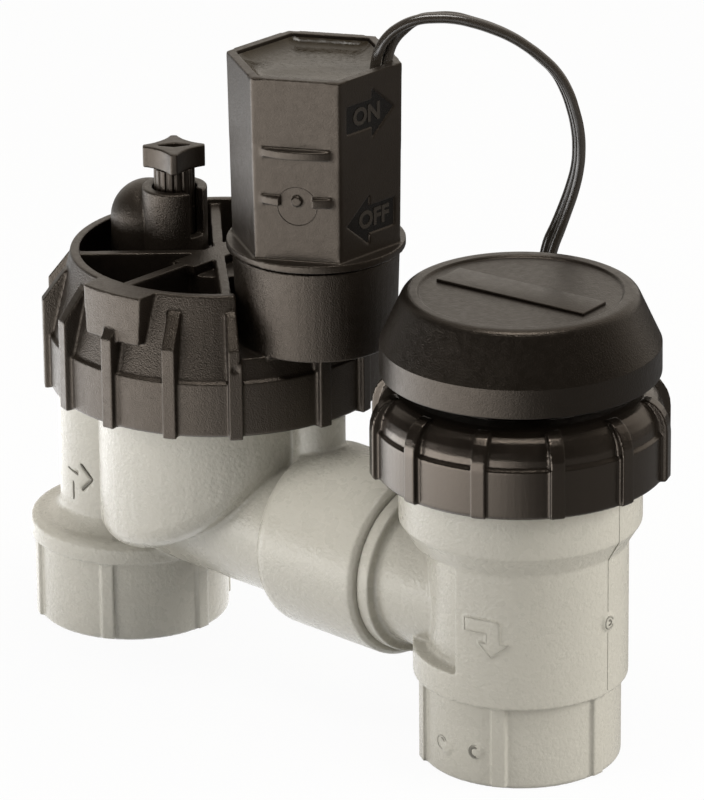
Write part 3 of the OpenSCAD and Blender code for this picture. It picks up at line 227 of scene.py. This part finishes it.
for lead_name, route in lead_routes.items():
    points = list(route)
    steps = int(coil_turns * knots_per_turn)
    for k in range(1, steps + 1):
        angle = coil_start + 360.0 * coil_turns * k / steps
        reach = coil_r - coil_step * (angle - coil_start) / 360.0
        turn = math.radians(angle)
        points.append((coil_at[0] + reach * math.cos(turn), coil_at[1] + reach * math.sin(turn),
                       coil_heights[lead_name]))
    wire = bpy.data.curves.new(lead_name, "CURVE")
    wire.dimensions = "3D"
    wire.resolution_u = 6
    wire.bevel_depth = lead_d / 2.0 * mm
    wire.bevel_resolution = 4
    wire.use_fill_caps = True
    path = wire.splines.new("BEZIER")
    path.bezier_points.add(len(points) - 1)
    for knot, point in zip(path.bezier_points, points):
        knot.co = Vector(point) * mm
        knot.handle_left_type = "AUTO"
        knot.handle_right_type = "AUTO"
    wire.materials.append(lead_insulation)
    lead = bpy.data.objects.new(lead_name + "_wire", wire)
    scene.collection.objects.link(lead)
    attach(lead, "solenoid")
    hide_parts(lead_name + "_run", lead_name + "_coil")

# Valve body: the inlet hub, riser, bowl and joining tube in one moulding of grey rigid PVC.
# Injection moulded in a split tool, so its edges are eased, its corners filleted and its skin slightly
# leathery. The flow mark's grooves on the riser are drawn as thin dark strokes of painted shade.
def evaluated(thing):
    return bpy.data.meshes.new_from_object(thing.evaluated_get(bpy.context.evaluated_depsgraph_get()))


def smoothed(mesh, finish):
    mesh.materials.clear()
    mesh.materials.append(finish)
    mesh.polygons.foreach_set("use_smooth", [True] * len(mesh.polygons))


def eased(node, finish, body, grain, passes, faces, soft=None):
    cast = bmesh.new()
    cast.from_mesh(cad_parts[node].data)
    bmesh.ops.remove_doubles(cast, verts=cast.verts, dist=0.000001)
    cast_mesh = bpy.data.meshes.new(node + "_cast")
    cast.to_mesh(cast_mesh)
    cast.free()
    moulding = bpy.data.objects.new(node + "_moulding", cast_mesh)
    scene.collection.objects.link(moulding)
    skin = moulding.modifiers.new("skin", "REMESH")
    skin.mode = "VOXEL"
    skin.voxel_size = grain
    ease = moulding.modifiers.new("ease", "SMOOTH")
    ease.factor = 0.5
    ease.iterations = passes
    shaped = evaluated(moulding)
    moulding.modifiers.clear()
    moulding.data = shaped
    if soft:
        edge = moulding.vertex_groups.new(name="soft_edge")
        edge.add([corner.index for corner in shaped.vertices if soft(corner.co)], 1.0, "REPLACE")
        round_off = moulding.modifiers.new("round_off", "SMOOTH")
        round_off.vertex_group = "soft_edge"
        round_off.factor = 0.5
        round_off.iterations = 30
    thin = moulding.modifiers.new("thin", "DECIMATE")
    thin.ratio = min(1.0, faces / (2.0 * len(shaped.polygons)))
    moulding.data = evaluated(moulding)
    moulding.modifiers.clear()
    smoothed(moulding.data, finish)
    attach(moulding, body)
    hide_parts(node)


grey_pvc = plastic("grey_pvc", (0.42, 0.407, 0.363), (0.404, 0.392, 0.348), 40.0,
                   0.24, 0.32, 1500.0, 0.0002, 0.6)
eased("valve_body", grey_pvc, "body", 0.0003, 3, 190000)


def placed(name, data, body):
    piece = bpy.data.objects.new(name, data)
    scene.collection.objects.link(piece)
    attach(piece, body)
    return piece


def bead(name, points, thick, closed, finish, body):
    line = bpy.data.curves.new(name, "CURVE")
    line.dimensions = "3D"
    line.bevel_depth = thick
    line.bevel_resolution = 2
    line.use_fill_caps = not closed
    course = line.splines.new("POLY")
    course.points.add(len(points) - 1)
    for knot, point in zip(course.points, points):
        knot.co = (*point, 1.0)
    course.use_cyclic_u = closed
    line.materials.append(finish)
    placed(name, line, body)


def between(start, stop, count):
    return [(start[0] + (stop[0] - start[0]) * k / count, start[1] + (stop[1] - start[1]) * k / count)
            for k in range(count + 1)]


# Dark grey painted shade: thin strokes in the flow mark's grooves, a crescent in one ejector pit and the
# core of the gate scar.
painted_shade_pvc = plastic("painted_shade_pvc", (0.12, 0.115, 0.1), (0.16, 0.154, 0.134), 60.0,
                    0.6, 0.7, 1500.0, 0.0001, 0.3)
riser_r = 13.4
stroke_sunk = 0.16
for stroke_name, start, stop in (("flow_mark_tail", (-3.6, 30.8), (-0.6, 30.1)),
                                 ("flow_mark_upper", (0.1, 32.5), (2.9, 29.9)),
                                 ("flow_mark_lower", (2.9, 29.9), (0.4, 27.4)),
                                 ("flow_mark_stem", (-2.05, 24.8), (-2.05, 28.5))):
    stroke = [(mm * x, -mm * (math.sqrt(riser_r ** 2 - x ** 2) - stroke_sunk), mm * z)
              for x, z in between(start, stop, 5)]
    bead(stroke_name, stroke, 0.00022, False, painted_shade_pvc, "body")

# Diaphragm set: a rolling rubber diaphragm with its seat seal, stiff plate, strainer and closing spring.
# Moulded nitrile rubber and nylon, stacked and centred on the main seat; the spring is stainless wire.
rubber = plastic("black_rubber", (0.016, 0.016, 0.016), (0.028, 0.027, 0.026), 80.0,
                 0.55, 0.7, 1800.0, 0.00008, 0.3)
warm_glint = (1.0, 0.85, 0.71)
black_nylon = plastic("black_nylon", (0.007, 0.0054, 0.0041), (0.0115, 0.009, 0.0069), 110.0,
                      0.31, 0.42, 3000.0, 0.0001, 0.4, glint=warm_glint)
white_plastic = plastic("white_acetal", (0.72, 0.71, 0.68), (0.66, 0.65, 0.62), 60.0,
                        0.35, 0.45, 1500.0, 0.00005, 0.2)


def metal(name, colour, shade, rough_low, rough_high, scratch):
    return plastic(name, colour, shade, 140.0, rough_low, rough_high, scratch, 0.00002, 0.2, metallic=1.0)


spring_steel = metal("spring_steel", (0.56, 0.55, 0.53), (0.46, 0.45, 0.44), 0.24, 0.36, 2500.0)


def dress(node, finish):
    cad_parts[node].material_slots[0].material = finish


dress("diaphragm", rubber)
dress("seat_seal", rubber)
dress("diaphragm_plate", black_nylon)
dress("filter_screen", white_plastic)


def coiled(node, body):
    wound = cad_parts[node].data.copy()
    wound.materials.clear()
    wound.materials.append(spring_steel)
    coils = placed(node + "_coils", wound, body)
    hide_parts(node)
    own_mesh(coils)


coiled("diaphragm_spring", "diaphragm_set")

# Bonnet: the screwed jar-top cover with its grip ribs, spokes, flow control boss and solenoid bowl.
# Glass-filled black nylon, injection moulded with a grained skin, screwed on the body's rim by hand.
bonnet_nylon = plastic("bonnet_nylon", (0.007, 0.0054, 0.0041), (0.0115, 0.009, 0.0069), 110.0,
                       0.31, 0.42, 3800.0, 0.00015, 0.7, level=0.57, glint=warm_glint)
eased("bonnet", bonnet_nylon, "body", 0.00025, 4, 195000)

# Flow control: a fluted stem and a four-cornered handle with a driver slot, screwed through the boss.
# Black nylon, the handle pressed on the stem's spigot; an O-ring seals the shank.
eased("flow_stem", black_nylon, "flow_control", 0.00012, 2, 60000)
eased("flow_handle", black_nylon, "flow_control", 0.00015, 22, 40000)
dress("stem_oring", rubber)

# Solenoid housing: a hexagonal nylon cup with a collar, grip crescents and two recessed turn arrows.
# Moulded in one piece and screwed into the bowl; the words stand proud in the floor of each arrow.
# A tool insert has left its round witness line on the face with the crescents.
sol_x = 0.049
soft_low = 0.0866
soft_reach = 0.0148
soft_width = 6.5


def on_hex_edge(point):
    x = point.x - sol_x
    bearing = math.degrees(math.atan2(point.y, x)) % 60.0 - 30.0
    return point.z > soft_low and math.hypot(x, point.y) > soft_reach and abs(bearing) < soft_width


eased("solenoid_housing", black_nylon, "solenoid", 0.0002, 3, 195000, on_hex_edge)
dress("solenoid_oring", rubber)
# The arrow floors are a darker, smoother copy of the black nylon: smoother finish, and painted shade in
# the recesses.
polished_nylon_painted_shade = plastic("polished_nylon_painted_shade", (0.003, 0.0024, 0.0019), (0.005, 0.004, 0.0032), 110.0,
                         0.24, 0.32, 1200.0, 0.00003, 0.2, level=0.3)
# The proud words are a lighter, matter copy of the black nylon: painted light on their faces.
letter_nylon_painted_light = plastic("letter_nylon_painted_light", (0.015, 0.012, 0.0092), (0.021, 0.017, 0.013), 110.0,
                       0.42, 0.52, 1800.0, 0.00005, 0.3)
hex_low = 0.0858
hex_tall = 0.0342
hex_r = 0.01565
hex_flare = 0.00055
to_face = math.cos(math.radians(30.0))
lean = math.atan2(hex_flare * to_face, hex_tall)
upright = Matrix(((0.0, 0.0, 1.0), (1.0, 0.0, 0.0), (0.0, 1.0, 0.0))).to_4x4()
arrow_half = 0.0062
neck = arrow_half - 0.48 * 2.0 * arrow_half
shaft = 0.002688
barb = 0.0048
arrow = ((-arrow_half, -shaft), (neck, -shaft), (neck, -barb), (arrow_half, 0.0),
         (neck, barb), (neck, shaft), (-arrow_half, shaft))
fit_along = 0.98
fit_across = 0.97


def on_face(mesh, sunk, along, high):
    face = (hex_r + hex_flare * (high - hex_low) / hex_tall) * to_face
    mesh.transform(Matrix.Translation((sol_x + face - sunk, along, high))
                   @ Matrix.Rotation(lean, 4, "Y") @ upright)


for word, high, along, way in (("ON", 0.112134, -0.0009, 1.0), ("OFF", 0.092298, 0.001, -1.0)):
    letters = bpy.data.curves.new(word, "FONT")
    letters.body = word
    letters.size = 0.0044
    letters.extrude = 0.00022
    letters.offset = 0.00016
    letters.align_x = "CENTER"
    letters.align_y = "CENTER"
    letters.resolution_u = 4
    setting = bpy.data.objects.new("word", letters)
    scene.collection.objects.link(setting)
    word_mesh = evaluated(setting)
    bpy.data.objects.remove(setting)
    on_face(word_mesh, sunk=0.0004, along=along, high=high)
    floor_plate = bmesh.new()
    floor_plate.faces.new([floor_plate.verts.new((fit_along * way * u, fit_across * v, 0.0))
                           for u, v in arrow])
    bmesh.ops.recalc_face_normals(floor_plate, faces=floor_plate.faces)
    floor_mesh = bpy.data.meshes.new("arrow_floor")
    floor_plate.to_mesh(floor_mesh)
    floor_plate.free()
    on_face(floor_mesh, sunk=0.0003, along=0.0, high=high)
    floor_mesh.materials.append(polished_nylon_painted_shade)
    placed("arrow_floor_" + word.lower(), floor_mesh, "solenoid")
    word_mesh.materials.clear()
    word_mesh.materials.append(letter_nylon_painted_light)
    placed("turn_word_" + word.lower(), word_mesh, "solenoid")

grip_face = math.radians(-60.0)
outward = Vector((math.cos(grip_face), math.sin(grip_face), 0.0))
sideways = Vector((-outward.y, outward.x, 0.0))
witness_z = 0.0962
witness_out = 0.01372
witness_r = 0.0036
witness_knots = 48
middle = Vector((sol_x, 0.0, witness_z)) + outward * witness_out
witness = []
for k in range(witness_knots):
    turn = math.radians(360.0 / witness_knots * k)
    witness.append(middle + sideways * (witness_r * math.cos(turn))
                   + Vector((0.0, 0.0, witness_r * math.sin(turn))))
bead("witness_ring", witness, 0.00009, True, black_nylon, "solenoid")

# Potting: the black epoxy poured over the coil to close the housing.
# It has crept up the walls while it cured, so its glossy top is dished with a meniscus all round.
epoxy = plastic("black_epoxy", (0.016, 0.0125, 0.0085), (0.034, 0.027, 0.018), 160.0,
                0.08, 0.3, 260.0, 0.0003, 0.3, level=0.28)
dress("potting", epoxy)
pour_level = 117.88
pour_reach = 12.15
wall_at = 12.2
creep_height = 1.35
creep_width = 0.95
sectors = 72
pour = bmesh.new()
rings = []
for share in (0.0, 0.25, 0.45, 0.6, 0.72, 0.81, 0.87, 0.91, 0.94, 0.96, 0.975, 0.988, 1.0):
    ring = []
    for k in range(sectors if share > 0.0 else 1):
        turn = math.radians(360.0 / sectors * k)
        off_face = (turn + math.radians(30.0)) % math.radians(60.0) - math.radians(30.0)
        reach = share * pour_reach / math.cos(off_face)
        x = reach * math.cos(turn)
        y = reach * math.sin(turn)
        creep = creep_height * math.exp((share - 1.0) * wall_at / creep_width)
        sag = 0.12 * math.sin(0.55 * x + 0.8) * math.cos(0.48 * y - 0.4) * (1.0 - share)
        ring.append(pour.verts.new((sol_x + mm * x, mm * y, mm * (pour_level + sag + creep))))
    rings.append(ring)
for k in range(sectors):
    pour.faces.new((rings[0][0], rings[1][k], rings[1][(k + 1) % sectors]))
for inner, outer in zip(rings[1:], rings[2:]):
    for k in range(sectors):
        pour.faces.new((inner[k], outer[k], outer[(k + 1) % sectors], inner[(k + 1) % sectors]))
bmesh.ops.recalc_face_normals(pour, faces=pour.faces)
pour_mesh = bpy.data.meshes.new("potting_skin")
pour.to_mesh(pour_mesh)
pour.free()
smoothed(pour_mesh, epoxy)
placed("potting_skin", pour_mesh, "solenoid")

# Coil: a steel yoke round a copper winding on its nylon bobbin, with the guide tube and the fixed core.
# The winding is enamelled copper; yoke, tube and core are plated or stainless steel, buried in the epoxy.
enamelled_copper = metal("enamelled_copper", (0.55, 0.22, 0.09), (0.42, 0.16, 0.06), 0.22, 0.36, 1200.0)
dress("yoke", spring_steel)
dress("coil_bobbin", white_plastic)
dress("coil_winding", enamelled_copper)
dress("core_tube", spring_steel)
dress("fixed_core", spring_steel)
tinned_copper = metal("tinned_copper", (0.62, 0.5, 0.4), (0.55, 0.42, 0.32), 0.24, 0.36, 3000.0)
dress("lead_a_tip", tinned_copper)
dress("lead_b_tip", tinned_copper)
tie_plastic = plastic("tie_plastic", (0.02, 0.02, 0.02), (0.03, 0.03, 0.03), 120.0,
                      0.35, 0.45, 2000.0, 0.00004, 0.2)
dress("lead_tie", tie_plastic)

# Plunger: the soft iron core that the coil lifts off the pilot nozzle, with its seal and return spring.
# Turned stainless steel with a rubber face pressed into its end.
dress("plunger", spring_steel)
dress("plunger_seal", rubber)
coiled("plunger_spring", "plunger")

# Vacuum breaker body: the outlet hub, its jacket, the weld spigot and the upper chamber.
# Grey rigid PVC moulded in a split tool and solvent-welded into the valve's socket. The tool left a
# parting line, a gate scar and two ejector marks; a flow arrow is outlined on the jacket.
eased("vacuum_breaker_body", grey_pvc, "body", 0.0003, 3, 190000)
breaker_x = 98.5
seam = math.radians(5.1)
parting = [(mm * (breaker_x + r * math.cos(seam)), mm * r * math.sin(seam), mm * z)
           for r, z in ((19.25, 16.5), (19.25, 41.3), (21.64, 45.3), (21.64, 54.4))]
bead("parting_line", parting, 0.00012, False, grey_pvc, "body")


def on_barrel(bearing, radius, across, high):
    turn = math.radians(bearing)
    out = math.sqrt(radius ** 2 - across ** 2)
    return (mm * (breaker_x + out * math.cos(turn) - across * math.sin(turn)),
            mm * (out * math.sin(turn) + across * math.cos(turn)), mm * high)


# A slightly darker grey line along the raised arrow outline on the jacket: painted shade at its edges.
painted_outline_shade_pvc = plastic("painted_outline_shade_pvc", (0.33, 0.32, 0.285), (0.36, 0.35, 0.31), 60.0,
                    0.35, 0.45, 1500.0, 0.0001, 0.3)
arrow_bearing = -66.4
arrow_r = 19.48
arrow = [(-4.1, 32.8), (2.0, 32.7), (2.5, 32.0), (2.5, 28.4), (4.2, 28.4), (0.9, 25.8), (-1.4, 28.4),
         (0.1, 28.4), (0.1, 30.4), (-4.1, 30.4)]
edge = []
for start, stop in zip(arrow, arrow[1:] + arrow[:1]):
    for across, high in between(start, stop, 5)[:-1]:
        edge.append(on_barrel(arrow_bearing, arrow_r, across, high))
bead("jacket_arrow_edge", edge, 0.0001, True, painted_outline_shade_pvc, "body")
# Mid-dark grey painted shade for the rims of the ejector marks and the gate scar, and for the shaded
# crescent in one ejector pit.
painted_mark_shade_pvc = plastic("painted_mark_shade_pvc", (0.24, 0.233, 0.207), (0.28, 0.272, 0.24), 60.0,
                   0.45, 0.6, 1500.0, 0.0001, 0.3)
mark_steps = 24
# Each mark is drawn as darker lines of painted shade along its rim and on its shaded side.
for spot_name, bearing, radius, high, size, first, last, thick, finish in (
        ("ejector_ring_a", -98.8, 18.0, 6.3, 1.3, 0, 360, 0.0001, painted_mark_shade_pvc),
        ("ejector_shade_a", -98.8, 18.0, 6.3, 0.75, -70, 100, 0.00016, painted_mark_shade_pvc),
        ("ejector_ring_b", -74.6, 18.0, 6.5, 1.3, 0, 360, 0.0001, painted_mark_shade_pvc),
        ("ejector_shade_b", -74.6, 18.0, 6.5, 0.85, 60, 290, 0.0003, painted_shade_pvc),
        ("gate_scar_rim", 5.0, 19.62, 29.6, 1.1, 20, 330, 0.00018, painted_mark_shade_pvc),
        ("gate_scar_core", 5.0, 19.62, 29.6, 0.45, -120, 120, 0.00018, painted_shade_pvc)):
    full = last - first == 360
    mark = []
    for k in range(mark_steps if full else mark_steps + 1):
        turn = math.radians(first + (last - first) * k / mark_steps)
        mark.append(on_barrel(bearing, radius, size * math.cos(turn), high + size * math.sin(turn)))
    bead(spot_name, mark, thick, full, finish, "body")

# Poppet and vent: the float disc with its two seals, and the vent seat that carries the canopy's post.
# White acetal and black nylon; the seat is clamped under the nut on a rubber ring.
dress("poppet", white_plastic)
dress("poppet_inlet_seal", rubber)
dress("poppet_vent_seal", rubber)
dress("vent_seal", rubber)
dress("vent_seat", black_nylon)

# Retaining nut: a ring nut with a rounded shoulder and twelve ribs that wrap over it.
# Black nylon, moulded, screwed on the upper chamber to clamp the vent seat.
glossy_nylon = plastic("glossy_nylon", (0.006, 0.0047, 0.0036), (0.01, 0.0079, 0.0061), 110.0,
                       0.2, 0.27, 3600.0, 0.00008, 0.45, level=0.75, glint=warm_glint)
eased("retaining_nut", glossy_nylon, "body", 0.0002, 6, 195000)

# Canopy: the cap that keeps dirt and rain off the air vents.
# Black nylon, moulded, snapped on the vent seat's post; its recessed top keeps a bare plaque.
def curve(start, pull, stop, t):
    return tuple(Vector(start) * (1 - t) ** 2 + Vector(pull) * 2 * t * (1 - t) + Vector(stop) * t ** 2)


def rounded(outline, radius, steps):
    smooth = [outline[0]]
    for before, corner, after in zip(outline, outline[1:], outline[2:]):
        here = Vector(corner)
        back = Vector(before) - here
        on = Vector(after) - here
        half = back.angle(on) / 2.0
        cut = min(radius / math.tan(half), 0.42 * back.length, 0.42 * on.length)
        guard = min(0.06, 0.05 * min(back.length, on.length))
        start = here + back.normalized() * cut
        stop = here + on.normalized() * cut
        smooth.append(tuple(here + back.normalized() * (cut + guard)))
        for k in range(steps + 1):
            smooth.append(curve(start, here, stop, k / steps))
        smooth.append(tuple(here + on.normalized() * (cut + guard)))
    smooth.append(outline[-1])
    return smooth


brow = [curve((19.4, 87.7), (20.6, 87.7), (21.15, 86.5), t)
        for t in (0.0, 0.17, 0.33, 0.5, 0.67, 0.83, 1.0)]
cap_outline = rounded([(0.0, 87.2), (17.8, 87.2), (18.2, 87.7), *brow, (24.87, 78.4), (24.9, 73.0),
                       (22.7, 73.0), (22.7, 77.9), (18.0, 85.0), (6.5, 85.0), (6.5, 80.0), (3.05, 80.0),
                       (3.05, 84.0), (0.0, 84.0)], 0.35, 4)
cap = bmesh.new()
chain = [cap.verts.new((r * mm, 0.0, z * mm)) for r, z in cap_outline]
edges = [cap.edges.new(pair) for pair in zip(chain, chain[1:])]
bmesh.ops.spin(cap, geom=chain + edges, cent=(0.0, 0.0, 0.0), axis=(0.0, 0.0, 1.0),
               dvec=(0.0, 0.0, 0.0), angle=math.radians(360.0), steps=192, use_merge=True)
bmesh.ops.remove_doubles(cap, verts=cap.verts, dist=0.0000005)
bmesh.ops.recalc_face_normals(cap, faces=cap.faces)
plaque_size = (0.031, 0.0072, 0.0006)
plaque_z = 0.0874
plaque_turn = Matrix.Rotation(math.radians(8.0), 3, "Z")
plaque = bmesh.ops.create_cube(cap, size=1.0)["verts"]
bmesh.ops.scale(cap, vec=plaque_size, verts=plaque)
plate_edges = list({edge for corner in plaque for edge in corner.link_edges})
bevelled = bmesh.ops.bevel(cap, geom=plate_edges, offset=0.0002, offset_type="OFFSET", affect="EDGES",
                           segments=3, profile=0.5, material=-1)
plate = list({corner for face in bevelled["faces"] for corner in face.verts})
bmesh.ops.rotate(cap, cent=(0.0, 0.0, 0.0), matrix=plaque_turn, verts=plate)
bmesh.ops.translate(cap, vec=(0.0, 0.0, plaque_z), verts=plate)
bmesh.ops.translate(cap, vec=(breaker_x * mm, 0.0, 0.0), verts=cap.verts)
cap_mesh = bpy.data.meshes.new("canopy_cap")
cap.to_mesh(cap_mesh)
cap.free()
# The cap's nylon is a darker copy of the black nylon: painted shade that keeps its sloping side near
# black.
cap_nylon_painted_shade = plastic("cap_nylon_painted_shade", (0.0036, 0.0028, 0.0021), (0.006, 0.0047, 0.0036), 110.0,
                    0.3, 0.4, 3000.0, 0.00012, 0.5, glint=warm_glint)
smoothed(cap_mesh, cap_nylon_painted_shade)
canopy = placed("canopy_moulding", cap_mesh, "body")
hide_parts("canopy")
